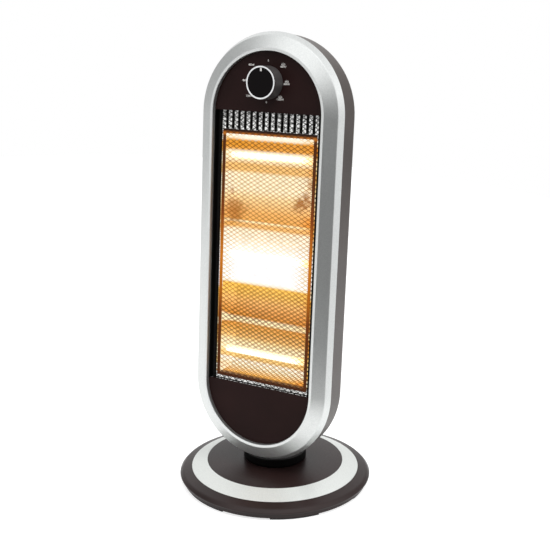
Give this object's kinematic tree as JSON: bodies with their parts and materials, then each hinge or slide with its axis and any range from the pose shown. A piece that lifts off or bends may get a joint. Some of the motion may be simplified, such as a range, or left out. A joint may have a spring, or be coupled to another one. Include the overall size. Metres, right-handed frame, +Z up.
{
  "type": "halogen heater",
  "caption": "Free-standing halogen heater: tall round-ended body with quartz lamps behind a guard mesh, leaning back on a turntable that swings it on a round base.",
  "frame": {"origin": "middle of the base on the floor, on the swing axis", "axes": "+Z up, the lamps face -Y, +X to the right of a viewer in front"},
  "size_m": [0.2896, 0.2893, 0.667],
  "materials": {
    "dark_plastic": "moulded plastic with a soft sheen",
    "rubber_black": "plain black rubber",
    "silver_paint": "silver metallic paint on plastic",
    "zinc_steel": "zinc-plated steel",
    "white_plastic": "off-white plastic",
    "red_plastic": "red plastic",
    "motor_case": "plated steel can",
    "shell_plastic": "dark grey plastic, finely textured",
    "black_plastic": "black plastic",
    "panel_plastic": "brown-black plastic, finely textured",
    "liner_black": "black heat-proof plastic",
    "mesh_wire": "steel wire, browned by heat",
    "browned_steel": "steel strip, browned by heat",
    "bright_sheet": "bright rolled sheet",
    "ceramic": "unglazed white ceramic",
    "quartz": "frosted quartz, lit",
    "filament_wire": "glowing wire",
    "knob_plastic": "dark grey plastic",
    "knob_chrome": "bright ring",
    "knob_gloss": "gloss black",
    "pointer_white": "white line"
  },
  "bodies": {
    "base": {"base_bottom": "dark_plastic", "foot_pads": "rubber_black", "base_cover": "dark_plastic", "trim_ring": "silver_paint", "base_screws": "zinc_steel", "cord_gland": "rubber_black", "tip_switch_housing": "white_plastic", "tip_switch_spring": "zinc_steel", "drive_motor": "motor_case", "motor_screws": "zinc_steel", "thrust_washer": "white_plastic"},
    "plunger": {"tip_switch_plunger": "red_plastic"},
    "crank": {"crank_shaft": "zinc_steel", "crank": "white_plastic"},
    "heater": {"turntable": "dark_plastic", "swing_arm": "zinc_steel", "arm_screws": "zinc_steel", "turntable_screws": "zinc_steel", "rear_shell": "shell_plastic", "carry_grip": "black_plastic", "front_frame_top": "silver_paint", "front_frame_left": "silver_paint", "front_frame_right": "silver_paint", "front_frame_bottom": "silver_paint", "frame_screws": "zinc_steel", "control_panel": "panel_plastic", "lower_panel": "panel_plastic", "window_liner": "liner_black", "liner_walls": "liner_black", "guard_mesh": "mesh_wire", "lamp_surround": "browned_steel", "reflector": "bright_sheet", "reflector_screws": "zinc_steel", "lamp_bracket_left": "zinc_steel", "lamp_bracket_right": "zinc_steel", "heat_shield": "zinc_steel", "shield_screws": "zinc_steel", "thermal_cutout": "ceramic", "lamp_tube_top": "quartz", "lamp_tube_middle": "quartz", "lamp_tube_bottom": "quartz", "filament_top": "filament_wire", "filament_middle": "filament_wire", "filament_bottom": "filament_wire", "end_cap_top_left": "ceramic", "end_cap_top_right": "ceramic", "end_cap_middle_left": "ceramic", "end_cap_middle_right": "ceramic", "end_cap_bottom_left": "ceramic", "end_cap_bottom_right": "ceramic", "rotary_switch": "white_plastic", "switch_nut": "zinc_steel", "terminal_block": "white_plastic"},
    "knob": {"switch_shaft": "zinc_steel", "knob_body": "knob_plastic", "knob_ring": "knob_chrome", "knob_face": "knob_gloss", "knob_pointer": "pointer_white"}
  },
  "joints": [
    {"name": "swing", "type": "hinge", "parent": "base", "child": "heater", "pos_m": [0, 0, 0.034], "axis": [0, 0, 1], "range_deg": [-30, 30]},
    {"name": "crank_turn", "type": "hinge", "parent": "base", "child": "crank", "pos_m": [0, 0.032, 0.022], "axis": [0, 0, 1], "range_deg": [-102, 102]},
    {"name": "knob_turn", "type": "hinge", "parent": "heater", "child": "knob", "pos_m": [0, -0.02003, 0.59863], "axis": [0, 0.9977, -0.068], "range_deg": [0, 315]},
    {"name": "plunger_slide", "type": "slide", "parent": "base", "child": "plunger", "axis": [0, 0, -1], "range_m": [0, 0.004], "stiffness_N_per_m": 200, "springref_m": 0.008, "deforming": ["tip_switch_spring"]}
  ],
  "couplings": [
    {"joint": "crank_turn", "follows": "swing", "ratio": 3.4}
  ]
}
